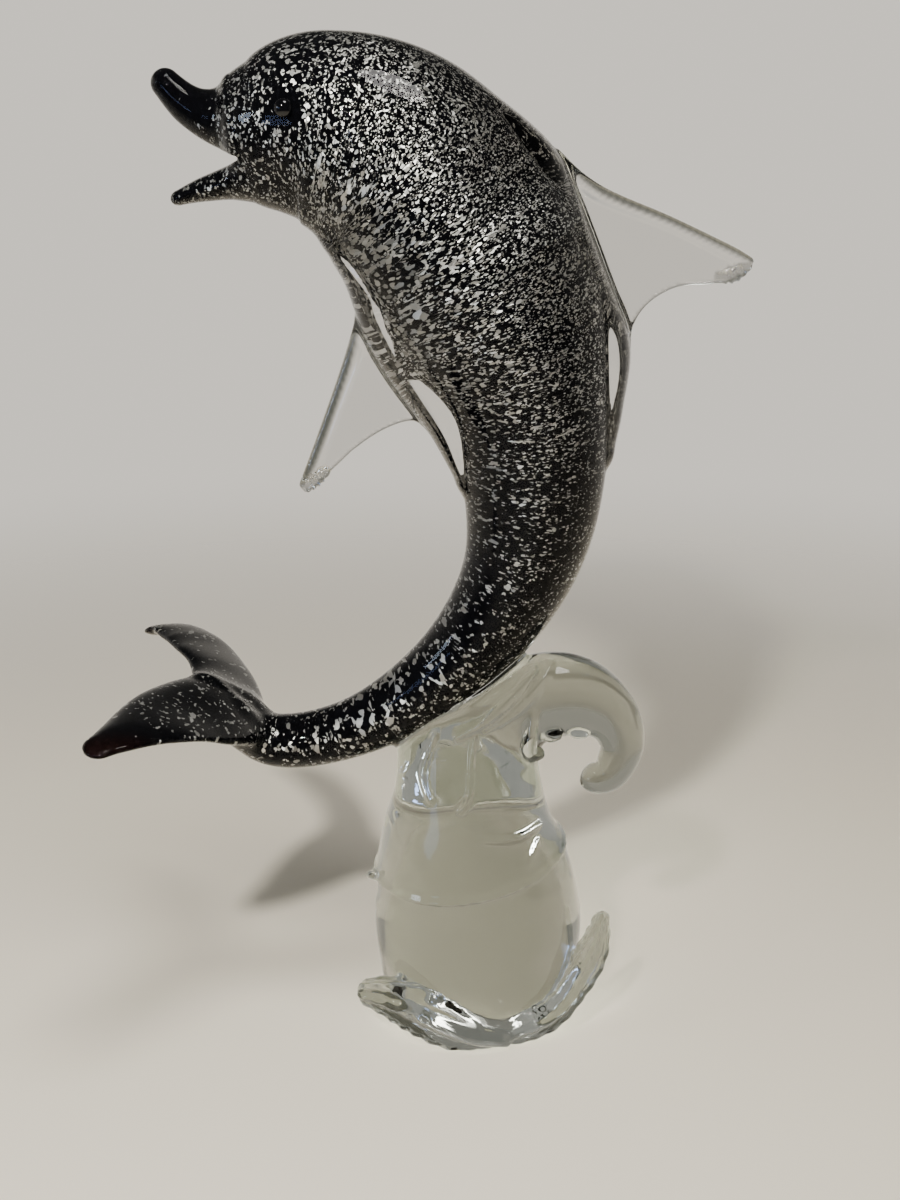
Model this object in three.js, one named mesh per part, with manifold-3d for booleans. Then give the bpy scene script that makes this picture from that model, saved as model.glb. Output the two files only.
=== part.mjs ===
// Glass dolphin figurine: a black and silver dolphin leaping off a clear glass wave.
// Millimetres, +Z up. The origin is the middle of the foot, the head points along -X,
// and the dolphin's middle plane is Y = 0.
import * as THREE from 'three';
import { ParametricGeometry } from 'three/addons/geometries/ParametricGeometry.js';
import { mergeVertices } from 'three/addons/utils/BufferGeometryUtils.js';
import Module from 'manifold-3d';

const wasm = await Module();
wasm.setup();

// Clearance between two pieces that touch
const GAP = 0.3;

// Meshing: corners closer than this are one, and how strongly rings crowd to a sweep's ends
const WELD_DISTANCE = 1e-4;
const END_CROWDING = 0.12;

// Dolphin. Each row is a section: x, y, z of its centre, half its thickness, half its width.
const TRUNK = [
  [-76, 0, 290, 12, 11],
  [-65.5, 0, 291.8, 19.6, 19],
  [-47, 0, 292.8, 27.6, 25.4],
  [-22.6, 0, 282.8, 32.1, 30],
  [-4, 0, 259.5, 34.3, 33],
  [9.5, 0, 234, 32.4, 31.5],
  [16.7, 0, 206.5, 25.4, 26],
  [17.4, 0, 173.5, 20.6, 20.8],
  [9.5, 0, 148, 16.4, 16.5],
  [-9, 0, 123.5, 13, 13.2],
  [-37, 0, 104.7, 9.8, 10.2],
  [-65, 0, 99.3, 8.4, 10.5],
  [-83, 0, 111, 5.5, 13],
];
const UPPER_BEAK = [
  [-60, 0, 290, 10, 12],
  [-75, 0, 294.6, 8.9, 10.5],
  [-85.2, 0, 299, 5.9, 7],
  [-94.6, 0, 308.2, 3.7, 4.2],
];
const LOWER_JAW = [
  [-52.5, 0, 279.5, 11.6, 15],
  [-70, 0, 277.4, 6.2, 10.5],
  [-81, 0, 274.8, 3.8, 7],
  [-91.5, 0, 271.4, 1.8, 3],
];
// The two fluke lobes, from the end of the tail out to the tips; a section's width is its chord
const NEAR_FLUKE = [
  [-79, 0, 110, 6.3, 15],
  [-84, -13, 113.7, 4.6, 16],
  [-91.5, -27, 117.3, 3.4, 14.8],
  [-97.5, -40, 119.4, 2.8, 12.4],
  [-103, -50, 120.2, 2.4, 9.4],
  [-108.5, -56.5, 119.6, 2.1, 6.4],
  [-114.2, -60.5, 117.8, 1.5, 2.6],
];
const FAR_FLUKE = [
  [-79, 0, 110, 6.3, 15],
  [-81.5, 12, 112.5, 4.4, 13.5],
  [-86, 25, 115.8, 3.3, 11.8],
  [-92.5, 37, 118.2, 2.7, 11],
  [-99.5, 47, 119.8, 2.4, 9.2],
  [-107.5, 55.5, 120, 2.1, 6.6],
  [-116.5, 60, 117.6, 1.4, 2.8],
];
const FLUKE_CHORD_AT_TAIL = [-0.76, 0, 0.65];
const FLUKE_CHORD_AT_TIP = [-1, 0, -0.15];
// The shear cut between beak and jaw
const MOUTH_CUT = [
  [-69.5, 0, 284, 0.4, 40],
  [-76, 0, 283.6, 2.7, 40],
  [-86, 0, 284.5, 6.5, 40],
];
const EYE_CENTRE = [-55, 21.9, 298];
const EYE_RADIUS = 2.7;
const EYE_FLATTENING = 0.8;
const EYE_SIDES = 14;
const EYE_RINGS = 10;

// Fins. A trail hugs the body, and a plate with a thick leading edge is drawn out of it.
const FIN_THICKNESS = 2.8;
const FIN_EDGE_ROUNDING = 0.9;
const DORSAL_TRAIL = [
  [-3, 0, 303, 1.2, 3],
  [12, 0, 291.5, 3.4, 7],
  [26, 0, 276, 5, 9],
  [36, 0, 252, 6, 9],
  [40.5, 0, 228, 5.5, 8],
  [41, 0, 210, 3.6, 6],
  [40.5, 0, 191, 1.3, 3],
];
const DORSAL_LEADING = [
  [22, 0, 283, 3, 4.2],
  [36, 0, 273, 2.8, 3],
  [58, 0, 264, 2.2, 2.3],
  [81, 0, 253.3, 2.2, 2.2],
];
const DORSAL_TIP_PAD = [
  [82.5, 0, 253, 1.9, 2.4],
  [78, 0, 249.6, 2.3, 1.9],
  [72, 0, 248.6, 1.6, 2],
];
const DORSAL_LEADING_EDGE = [[24, 285.5], [37, 274.8], [58, 266.2], [76, 258], [84, 254]];
const DORSAL_TRAILING_EDGE = [[83, 251], [74, 247], [61, 245.8], [51.5, 240], [46.8, 231], [45.8, 222]];
const DORSAL_ROOT = [[34, 216], [12, 268]];
const BELLY_TRAIL = [
  [-46.5, 0, 263, 1.3, 3],
  [-37.6, 0, 251.8, 2.6, 7],
  [-31, 0, 236.5, 5.4, 10],
  [-21, 0, 222, 6, 10.5],
  [-12, 0, 206, 5, 9],
  [-6, 0, 194, 2.8, 6],
  [-2.5, 0, 182, 1.2, 3],
];
const BELLY_LEADING = [
  [-33, 0, 237, 3.2, 4],
  [-38.5, 0, 222, 2.6, 2.8],
  [-45, 0, 205, 2.2, 2.3],
  [-52.8, 0, 184.8, 2.2, 2.4],
];
const BELLY_LEADING_EDGE = [[-36, 236], [-40, 222], [-46, 205], [-51.5, 191], [-55, 184.5]];
const BELLY_TRAILING_EDGE = [[-52.5, 182.3], [-43, 191], [-37, 196.5], [-28, 202.3], [-19, 204.8], [-12, 201]];
const BELLY_ROOT = [[-4, 205], [-24, 240]];

// Wave base: a barrel column, a crest that curls over, and pinched splash leaves at the foot
const COLUMN = [
  [0, 0, -6, 24, 19.5],
  [0.5, 0, 8, 30, 25],
  [1.3, 0, 28, 34.3, 29.5],
  [0.8, 0, 46, 33.8, 29.5],
  [-2, 0, 66, 29, 26],
  [-2, 0, 84, 24, 19.5],
  [-2.5, 0, 101, 22.3, 12.5],
  [-3.6, 0, 115, 21, 8],
];
const COLUMN_WIDTH_AT_FOOT = [1, 0, 0];
const COLUMN_WIDTH_AT_TAIL = [0.8, 0, 0.6];
const COLUMN_TILT_STARTS = 0.55;
const CREST = [
  [4, 0, 104, 14, 11],
  [20, 0, 113.6, 14.6, 12],
  [33, 0, 114.3, 13.3, 11.5],
  [44, 0, 108, 9.6, 9.5],
  [48.2, 0, 98.5, 7.4, 7.8],
  [45.6, 0, 89.2, 6.2, 6.4],
  [40.4, 0, 86, 5.2, 5.6],
  [36, 0, 88.6, 4, 4.6],
];
// A leaf's width stands up against the column, and its ridges are the pincer's marks
const LEFT_SPLASH = [
  [10, -21.5, 3, 3.4, 4],
  [-6, -24.5, 8, 4.6, 7.4],
  [-20, -23.5, 15.5, 4.8, 8.4],
  [-30.5, -20.5, 17.6, 4.2, 5.8],
  [-38.3, -17, 16.8, 3, 3.2],
];
const RIGHT_SPLASH = [
  [8, -22, 3, 3.4, 4],
  [23.5, -20.5, 10, 4.2, 5.4],
  [33, -16, 19.5, 4.2, 5.8],
  [39.2, -13, 30, 3.4, 5.6],
  [42.8, -10.5, 43, 1.8, 2.4],
];
const SPLASH_RIDGES = 5;
const SPLASH_RIDGE_DEPTH = 0.13;
const FLOOR_BLOCK_SIZE = 200;

// Materials
const blackSilver = new THREE.MeshStandardMaterial({ color: 0x3a3a3c, roughness: 0.18, metalness: 0.3 });
const clearGlass = new THREE.MeshStandardMaterial({
  color: 0xdfe6df,
  roughness: 0.04,
  metalness: 0,
  transparent: true,
  opacity: 0.35,
});
const blackGlass = new THREE.MeshStandardMaterial({ color: 0x060607, roughness: 0.08, metalness: 0 });

// How much a rounded end narrows the section at the share t of the way along
function endRounding(t, startShare, endShare) {
  const fromStart = startShare > 0 ? Math.max(0, 1 - t / startShare) : 0;
  const fromEnd = endShare > 0 ? Math.max(0, 1 - (1 - t) / endShare) : 0;
  const run = Math.max(fromStart, fromEnd);
  return Math.sqrt(Math.max(0, 1 - run * run));
}

// Triangles crowd towards both ends, where the form is rounded off
function crowdEnds(share) {
  return share - END_CROWDING * Math.sin(2 * Math.PI * share);
}

// A smooth body through sections: the width lies along widthAt(t), the thickness across it
function sweep({ rows, widthAt, sides, steps, startRound, endRound, grow = 0, ridges = 0, ridgeDepth = 0 }) {
  const spine = new THREE.CatmullRomCurve3(rows.map((row) => new THREE.Vector3(...row)), false, 'catmullrom');
  const halves = rows.map((row) => new THREE.Vector3(row[3] + grow, row[4] + grow, 0));
  const sizes = new THREE.CatmullRomCurve3(halves, false, 'catmullrom');
  const place = (u, v, target) => {
    const t = THREE.MathUtils.clamp(crowdEnds(v), 0, 1);
    const half = sizes.getPoint(t);
    const tangent = spine.getTangent(t);
    const width = widthAt(t);
    width.addScaledVector(tangent, -width.dot(tangent)).normalize();
    const thickness = new THREE.Vector3().crossVectors(tangent, width);
    const angle = 2 * Math.PI * u;
    const ridge = 1 + ridgeDepth * Math.cos(ridges * angle);
    const narrow = endRounding(t, startRound, endRound) * ridge;
    const isPole = v === 0 || v === 1;
    target.copy(spine.getPoint(t));
    if (!isPole) {
      target.addScaledVector(thickness, half.x * narrow * Math.cos(angle));
      target.addScaledVector(width, half.y * narrow * Math.sin(angle));
    }
  };
  return solid(new ParametricGeometry(place, sides, steps));
}

// A flat fin outline in the middle plane, with rounded edges
function plate(leading, trailing, root) {
  const outline = new THREE.Shape();
  outline.moveTo(...root[1]);
  outline.lineTo(...leading[0]);
  outline.splineThru(leading.slice(1).map((point) => new THREE.Vector2(...point)));
  outline.lineTo(...trailing[0]);
  outline.splineThru(trailing.slice(1).map((point) => new THREE.Vector2(...point)));
  outline.lineTo(...root[0]);
  const geometry = new THREE.ExtrudeGeometry(outline, {
    depth: FIN_THICKNESS - 2 * FIN_EDGE_ROUNDING,
    curveSegments: 3,
    bevelThickness: FIN_EDGE_ROUNDING,
    bevelSize: FIN_EDGE_ROUNDING,
    bevelOffset: -FIN_EDGE_ROUNDING,
    bevelSegments: 2,
  });
  geometry.translate(0, 0, FIN_EDGE_ROUNDING - FIN_THICKNESS / 2);
  geometry.rotateX(Math.PI / 2);
  return solid(geometry);
}

// A closed geometry as a solid that can be joined and cut, with its faces pointing out
function solid(geometry) {
  const bare = geometry.clone();
  bare.deleteAttribute('normal');
  bare.deleteAttribute('uv');
  const merged = mergeVertices(bare, WELD_DISTANCE);
  const points = merged.getAttribute('position').array;
  const corners = merged.index.array;
  const kept = [];
  let volume = 0;
  for (let i = 0; i < corners.length; i += 3) {
    const [a, b, c] = [corners[i], corners[i + 1], corners[i + 2]];
    if (a !== b && b !== c && c !== a) {
      kept.push(a, b, c);
      const [p, q, r] = [a, b, c].map((k) => new THREE.Vector3().fromArray(points, 3 * k));
      volume += p.dot(q.cross(r));
    }
  }
  const outward = volume > 0 ? kept : kept.reverse();
  const mesh = new wasm.Mesh({
    numProp: 3,
    vertProperties: Float32Array.from(points),
    triVerts: Uint32Array.from(outward),
  });
  return new wasm.Manifold(mesh);
}

function join(solids) {
  return solids.reduce((whole, next) => whole.add(next));
}

function namedMesh(name, body, material) {
  const result = body.getMesh();
  const geometry = new THREE.BufferGeometry();
  geometry.setAttribute('position', new THREE.BufferAttribute(result.vertProperties, 3));
  geometry.setIndex(new THREE.BufferAttribute(result.triVerts, 1));
  geometry.computeVertexNormals();
  const mesh = new THREE.Mesh(geometry, material);
  mesh.name = name;
  return mesh;
}

const alongY = () => new THREE.Vector3(0, 1, 0);
const upright = () => new THREE.Vector3(0, 0, 1);

function dolphin(grow) {
  const trunk = sweep({
    rows: TRUNK, widthAt: alongY, sides: 28, steps: 36, startRound: 0.05, endRound: 0.03, grow,
  });
  const beak = sweep({
    rows: UPPER_BEAK, widthAt: alongY, sides: 14, steps: 12, startRound: 0, endRound: 0.1, grow,
  });
  const jaw = sweep({
    rows: LOWER_JAW, widthAt: alongY, sides: 14, steps: 12, startRound: 0, endRound: 0.08, grow,
  });
  const flukes = [NEAR_FLUKE, FAR_FLUKE].map((rows) => sweep({
    rows, widthAt: flukeChord, sides: 18, steps: 14, startRound: 0.05, endRound: 0.1, grow,
  }));
  const mouth = sweep({
    rows: MOUTH_CUT, widthAt: alongY, sides: 8, steps: 6, startRound: 0, endRound: 0,
  });
  return join([trunk, beak, jaw, ...flukes]).subtract(mouth);
}

function flukeChord(t) {
  const atTail = new THREE.Vector3(...FLUKE_CHORD_AT_TAIL);
  const atTip = new THREE.Vector3(...FLUKE_CHORD_AT_TIP);
  return atTail.lerp(atTip, t);
}

function eye(side) {
  const bead = new THREE.SphereGeometry(EYE_RADIUS, EYE_SIDES, EYE_RINGS);
  bead.scale(1, EYE_FLATTENING, 1);
  bead.translate(EYE_CENTRE[0], EYE_CENTRE[1] * side, EYE_CENTRE[2]);
  return solid(bead);
}

function dorsalFin() {
  const trail = sweep({
    rows: DORSAL_TRAIL, widthAt: alongY, sides: 14, steps: 16, startRound: 0.05, endRound: 0.05,
  });
  const leading = sweep({
    rows: DORSAL_LEADING, widthAt: alongY, sides: 10, steps: 10, startRound: 0, endRound: 0.08,
  });
  const pad = sweep({
    rows: DORSAL_TIP_PAD, widthAt: alongY, sides: 10, steps: 8, startRound: 0.2, endRound: 0.2,
  });
  const membrane = plate(DORSAL_LEADING_EDGE, DORSAL_TRAILING_EDGE, DORSAL_ROOT);
  return join([trail, leading, pad, membrane]);
}

function bellyFin() {
  const trail = sweep({
    rows: BELLY_TRAIL, widthAt: alongY, sides: 14, steps: 16, startRound: 0.05, endRound: 0.05,
  });
  const leading = sweep({
    rows: BELLY_LEADING, widthAt: alongY, sides: 10, steps: 10, startRound: 0, endRound: 0.08,
  });
  const membrane = plate(BELLY_LEADING_EDGE, BELLY_TRAILING_EDGE, BELLY_ROOT);
  return join([trail, leading, membrane]);
}

function waveBase() {
  const columnWidth = (t) => {
    const foot = new THREE.Vector3(...COLUMN_WIDTH_AT_FOOT);
    const tail = new THREE.Vector3(...COLUMN_WIDTH_AT_TAIL);
    const lean = THREE.MathUtils.smoothstep(t, COLUMN_TILT_STARTS, 1);
    return foot.lerp(tail, lean);
  };
  const swapped = COLUMN.map(([x, y, z, wide, deep]) => [x, y, z, deep, wide]);
  const column = sweep({
    rows: swapped, widthAt: columnWidth, sides: 32, steps: 22, startRound: 0, endRound: 0,
  });
  const crest = sweep({
    rows: CREST, widthAt: alongY, sides: 18, steps: 24, startRound: 0.05, endRound: 0.08,
  });
  const leaves = [LEFT_SPLASH, RIGHT_SPLASH].map((rows) => sweep({
    rows,
    widthAt: upright,
    sides: 25,
    steps: 14,
    startRound: 0.1,
    endRound: 0.1,
    ridges: SPLASH_RIDGES,
    ridgeDepth: SPLASH_RIDGE_DEPTH,
  }));
  return join([column, crest, ...leaves]);
}

// Everything under the floor, taken off the base so that it stands flat
function floorBlock() {
  const block = new THREE.BoxGeometry(FLOOR_BLOCK_SIZE, FLOOR_BLOCK_SIZE, FLOOR_BLOCK_SIZE);
  block.translate(0, 0, -FLOOR_BLOCK_SIZE / 2);
  return solid(block);
}

const body = dolphin(0);
const clearance = dolphin(GAP);
const figurine = new THREE.Group();
figurine.add(namedMesh('dolphin_body', body, blackSilver));
figurine.add(namedMesh('dorsal_fin', dorsalFin().subtract(clearance), clearGlass));
figurine.add(namedMesh('belly_fin', bellyFin().subtract(clearance), clearGlass));
figurine.add(namedMesh('wave_base', waveBase().subtract(clearance).subtract(floorBlock()), clearGlass));
figurine.add(namedMesh('left_eye', eye(-1).subtract(clearance), blackGlass));
figurine.add(namedMesh('right_eye', eye(1).subtract(clearance), blackGlass));

export default figurine;
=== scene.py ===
import math

import bpy
import numpy as np
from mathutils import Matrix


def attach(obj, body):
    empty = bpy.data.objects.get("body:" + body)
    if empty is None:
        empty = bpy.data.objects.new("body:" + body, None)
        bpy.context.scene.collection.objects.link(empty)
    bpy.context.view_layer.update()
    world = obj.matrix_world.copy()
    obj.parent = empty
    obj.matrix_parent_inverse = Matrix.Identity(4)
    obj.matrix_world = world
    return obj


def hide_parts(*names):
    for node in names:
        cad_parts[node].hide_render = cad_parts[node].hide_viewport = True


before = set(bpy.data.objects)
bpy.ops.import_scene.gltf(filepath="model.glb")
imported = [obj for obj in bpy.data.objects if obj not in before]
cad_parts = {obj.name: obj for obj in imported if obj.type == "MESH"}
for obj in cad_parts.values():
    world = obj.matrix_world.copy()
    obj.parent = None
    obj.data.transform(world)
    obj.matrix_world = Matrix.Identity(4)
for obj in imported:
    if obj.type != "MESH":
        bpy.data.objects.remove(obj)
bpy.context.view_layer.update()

# Silvered core
# The dolphin is one solid gather of black glass, rolled in silver leaf that broke into flakes as it was
# drawn out. Beak, jaw and flukes are pulled and sheared from the same hot gather.

MM = 0.001

# Forms are worked out in millimetres. A row is x, y, z of a section's centre, half its thickness, and half
# its width.
TRUNK = [
    (-76, 0, 290, 12, 11),
    (-65.5, 0, 291.8, 19.6, 19),
    (-47, 0, 292.8, 27.6, 25.4),
    (-22.6, 0, 282.8, 32.1, 30),
    (-4, 0, 259.5, 34.3, 33),
    (9.5, 0, 234, 32.4, 31.5),
    (16.7, 0, 206.5, 25.4, 26),
    (17.4, 0, 173.5, 20.6, 20.8),
    (9.5, 0, 148, 16.4, 16.5),
    (-9, 0, 123.5, 13, 13.2),
    (-37, 0, 104.7, 9.8, 10.2),
    (-65, 0, 99.3, 8.4, 10.5),
    (-83, 0, 111, 5.5, 13),
]
UPPER_BEAK = [
    (-60, 0, 290, 10, 12),
    (-75, 0, 294.6, 8.9, 10.5),
    (-85.2, 0, 299, 5.9, 7),
    (-94.6, 0, 308.2, 3.7, 4.2),
]
LOWER_JAW = [
    (-34, 0, 283, 14.5, 18),
    (-52.5, 0, 279.5, 11.6, 15),
    (-70, 0, 277.4, 6.2, 10.5),
    (-81, 0, 274.8, 3.8, 7),
    (-91.5, 0, 271.4, 1.8, 3),
]
THROAT = [
    (-62, 0, 275.6, 4, 8),
    (-55.5, 0, 273.6, 4.6, 10),
    (-47.2, 0, 268.4, 4.8, 11),
    (-40, 0, 260, 4.8, 11),
    (-36.2, 0, 252, 4.2, 9),
]
# The mouth is cut right through, by a wedge wider than the head
MOUTH_CUT = [
    (-69.5, 0, 284, 0.4, 40),
    (-76, 0, 283.6, 2.7, 40),
    (-86, 0, 284.5, 6.5, 40),
    (-97, 0, 288, 9, 40),
]
NEAR_FLUKE = [
    (-79, 0, 110, 6.3, 15),
    (-84, -13, 113.7, 4.6, 16),
    (-91.5, -27, 117.3, 3.4, 14.8),
    (-97.5, -40, 119.4, 2.8, 12.4),
    (-103, -50, 120.2, 2.4, 9.4),
    (-108.5, -56.5, 119.6, 2.1, 6.4),
    (-114.2, -60.5, 117.8, 1.5, 2.6),
]
FAR_FLUKE = [
    (-79, 0, 110, 6.3, 15),
    (-81.5, 12, 112.5, 4.4, 13.5),
    (-86, 25, 115.8, 3.3, 11.8),
    (-92.5, 37, 118.2, 2.7, 11),
    (-99.5, 47, 119.8, 2.4, 9.2),
    (-107.5, 55.5, 120, 2.1, 6.6),
    (-116.5, 60, 117.6, 1.4, 2.8),
]
# The way a form's width points at its start and at its end
ALONG_Y = ((0, 1, 0), (0, 1, 0))
FLUKE_CHORD = ((-0.76, 0, 0.65), (-1, 0, -0.15))
BEAK_FILLET = 3
BODY_FILLET = 5
LIP_ROUNDING = 1.2

STEPS_PER_ROW = 12
# Distances are worked out within this margin of a form, and points past it count as far away
MARGIN = 14.0
FAR = 50.0
TINY = 1e-6
POINTS_AT_ONCE = 100000


def smooth_rows(rows, steps):
    """Rows on a smooth curve through the given rows, with that many steps from one to the next."""
    rows = np.array(rows, float)
    share = np.linspace(0, len(rows) - 1, steps * (len(rows) - 1) + 1)
    first = np.minimum(share.astype(int), len(rows) - 2)
    t = (share - first)[:, None]
    padded = np.vstack([2 * rows[0] - rows[1], rows, 2 * rows[-1] - rows[-2]])
    a, b, c, d = (padded[first + k] for k in range(4))
    return b + t * (c - a + t * (2 * a - 5 * b + 4 * c - d + t * (3 * b - 3 * c + d - a))) / 2


def unit(vectors):
    return vectors / np.linalg.norm(vectors, axis=1)[:, None]


class Drawn:
    """Glass drawn out along a smooth path through rows, with rounded ends as long as caps.

    Its width starts to turn at turns_from of the way. Ridges, given as a count and a depth, run along it,
    and pinches, given as a spacing and a depth, across it. Depths are shares of the half sizes."""

    def __init__(
        self, rows, width=ALONG_Y, caps=(1.0, 1.0), turns_from=0.0, ridges=(0, 0.0), pinches=(1.0, 0.0)
    ):
        path = smooth_rows(rows, STEPS_PER_ROW)
        step = np.linalg.norm(np.diff(path[:, :3], axis=0), axis=1)
        length = np.concatenate([[0], np.cumsum(step)])
        share = np.linspace(0, 1, len(path))[:, None]
        turned = np.clip((share - turns_from) / (1 - turns_from), 0, 1)
        along = unit(np.gradient(path[:, :3], axis=0))
        wide = np.array(width[0]) * (1 - turned) + np.array(width[1]) * turned
        wide = unit(wide - along * (wide * along).sum(1)[:, None])
        kept = (length >= caps[0]) & (length <= length[-1] - caps[1])
        self.caps = (max(length[kept][0], 1.0), max(length[-1] - length[kept][-1], 1.0))
        self.length = length[kept]
        self.centre = path[kept, :3]
        self.half = path[kept, 3:]
        self.along = along[kept]
        self.wide = wide[kept]
        self.thick = np.cross(along, wide)[kept]
        self.ridges = ridges
        self.pinches = pinches
        reach = self.half.max(1)[:, None] + MARGIN
        self.low = (self.centre - reach).min(0)
        self.high = (self.centre + reach).max(0)

    def locate(self, points):
        """Length along the path, half sizes there, and how far points are across, beside and beyond it."""
        square = (self.centre ** 2).sum(1)
        nearest = np.zeros(len(points), int)
        for chunk in np.array_split(np.arange(len(points)), len(points) // POINTS_AT_ONCE + 1):
            nearest[chunk] = np.argmin(square - 2 * points[chunk] @ self.centre.T, axis=1)
        ahead = ((points - self.centre[nearest]) * self.along[nearest]).sum(1)
        other = np.clip(nearest + np.where(ahead < 0, -1, 1), 0, len(self.centre) - 1)
        still_ahead = ((self.centre[other] - points) * self.along[other]).sum(1)
        whole = np.where(np.abs(ahead + still_ahead) < TINY, TINY, ahead + still_ahead)
        share = np.clip(ahead / whole, 0, 1) * (other != nearest)

        def here(values):
            weight = share if values.ndim == 1 else share[:, None]
            return values[nearest] * (1 - weight) + values[other] * weight

        offset = points - here(self.centre)
        across = (offset * here(self.thick)).sum(1)
        beside = (offset * here(self.wide)).sum(1)
        beyond = ahead * (other == nearest)
        return here(self.length), here(self.half), across, beside, beyond

    def field(self, points):
        """Distance from the form's skin, negative inside, for points near it."""
        value = np.full(len(points), FAR)
        near = ((points > self.low) & (points < self.high)).all(1)
        length, half, across, beside, beyond = self.locate(points[near])
        ridge_count, ridge_depth = self.ridges
        pinch_spacing, pinch_depth = self.pinches
        if ridge_depth or pinch_depth:
            angle = np.arctan2(beside / half[:, 1], across / half[:, 0])
            marks = ridge_depth * np.cos(ridge_count * angle)
            marks += pinch_depth * np.cos(2 * math.pi * length / pinch_spacing)
            half = half * (1 + marks)[:, None]
        cap = np.where(beyond < 0, self.caps[0], self.caps[1])
        sizes = np.stack([half[:, 0], half[:, 1], cap])
        scaled = np.stack([across, beside, beyond]) / sizes
        out = np.linalg.norm(scaled, axis=0)
        slope = np.linalg.norm(scaled / sizes, axis=0)
        value[near] = np.where(slope > TINY, out * (out - 1) / np.maximum(slope, TINY), -half.min(1))
        return value


def melt(first, second, softness):
    """Two forms run together, with a fillet about as wide as softness."""
    share = np.maximum(softness - np.abs(first - second), 0) / softness
    return np.minimum(first, second) - share * share * softness / 4


def cut(form, tool, softness):
    """A form with a tool's form taken away, and the edge rounded by about softness."""
    return -melt(-form, tool, softness)


def smooth_step(value, start, end):
    """From 0 at start to 1 at end, with no corner."""
    share = np.clip((value - start) / (end - start), 0, 1)
    return share * share * (3 - 2 * share)


trunk = Drawn(TRUNK, caps=(6.4, 7.7))
beak = Drawn(UPPER_BEAK, caps=(1, 3.9))
jaw = Drawn(LOWER_JAW, caps=(1, 2.6))
throat = Drawn(THROAT, caps=(3, 3))
mouth = Drawn(MOUTH_CUT)
flukes = [Drawn(rows, FLUKE_CHORD, caps=(4.2, 5)) for rows in (NEAR_FLUKE, FAR_FLUKE)]


def dolphin_body(points):
    """The outside of the dolphin, with its clear casing."""
    whole = melt(trunk.field(points), beak.field(points), BEAK_FILLET)
    for form in (jaw, throat, *flukes):
        whole = melt(whole, form.field(points), BODY_FILLET)
    return cut(whole, mouth.field(points), LIP_ROUNDING)


# The clear casing is thin on the beak and flukes, and thickest on the back under the dorsal fin's trail.
# Each pair is a length along the trunk, and how much more casing lies on its back or belly there.
CASING_DEPTH = 1.5
CASING_AT_ENDS = 0.7
MORE_ON_BACK = (
    (40, 0),
    (54, 4),
    (64, 6),
    (74, 9),
    (82, 9),
    (90, 3),
    (97, 1),
    (108, 7),
    (120, 10),
    (132, 8),
    (145, 5),
    (176, 7),
    (205, 7.5),
    (228, 6),
    (260, 0),
)
MORE_ON_BELLY = (
    (52, 0),
    (66, 5.5),
    (82, 5.5),
    (97, 2),
    (118, 1),
    (140, 3.6),
    (172, 3.6),
    (190, 0),
    (200, 0),
    (240, 1.6),
    (300, 1.6),
)
# Shares of the half thickness, from the trunk's middle, between which the casing deepens to the full
BACK_DEEPENS = (0.0, 1.0)
BELLY_DEEPENS = (0.2, 1.0)
# Lengths along the trunk between which the casing thickens behind the beak, and thins before the flukes
BEHIND_BEAK = (8, 26)
BEFORE_FLUKES = (285, 305)


def at_length(length, pairs):
    """The value at each length along the trunk, from pairs of a length and a value."""
    return np.interp(length, *np.transpose(pairs))


def casing_depth(points):
    length, half, across, beside, beyond = trunk.locate(points)
    side = across / half[:, 0]
    on_back = at_length(length, MORE_ON_BACK) * smooth_step(side, *BACK_DEEPENS)
    on_belly = at_length(length, MORE_ON_BELLY) * smooth_step(-side, *BELLY_DEEPENS)
    at_ends = np.maximum(1 - smooth_step(length, *BEHIND_BEAK), smooth_step(length, *BEFORE_FLUKES))
    return (CASING_DEPTH + on_back + on_belly) * (1 - at_ends) + CASING_AT_ENDS * at_ends


def silvered_core(points):
    return dolphin_body(points) + casing_depth(points)


# Meshes are made of cells, and cells are first looked at by the block, with so many along its side.
# Only blocks nearer to a skin than this reach, in block sides, are looked at cell by cell.
CELL = 0.9
BLOCK = 4
BLOCK_REACH = 1.1
# Corners are first evened out, and then set on the skin
EVENING_ROUNDS = 3
EVENING_SHARE = 0.6
SETTING_ROUNDS = 2
SLOPE_STEP = 0.15
LEAST_SLOPE_SQUARED = 0.2


def evened(corners, faces):
    """The corners, each moved a share of the way to the mean of its neighbours along the faces' edges."""
    total = np.zeros_like(corners)
    count = np.zeros(len(corners))
    for k in range(4):
        start, end = faces[:, k], faces[:, (k + 1) % 4]
        for one, two in ((start, end), (end, start)):
            count += np.bincount(one, minlength=len(corners))
            for axis in range(3):
                total[:, axis] += np.bincount(one, corners[two, axis], minlength=len(corners))
    return corners + EVENING_SHARE * (total / count[:, None] - corners)


def slope_of(distance, corners):
    """The distance at each corner, and its slope."""
    here = distance(corners)
    there = np.stack([distance(corners + SLOPE_STEP * axis) for axis in np.eye(3)], axis=1)
    return here, (there - here[:, None]) / SLOPE_STEP


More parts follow.
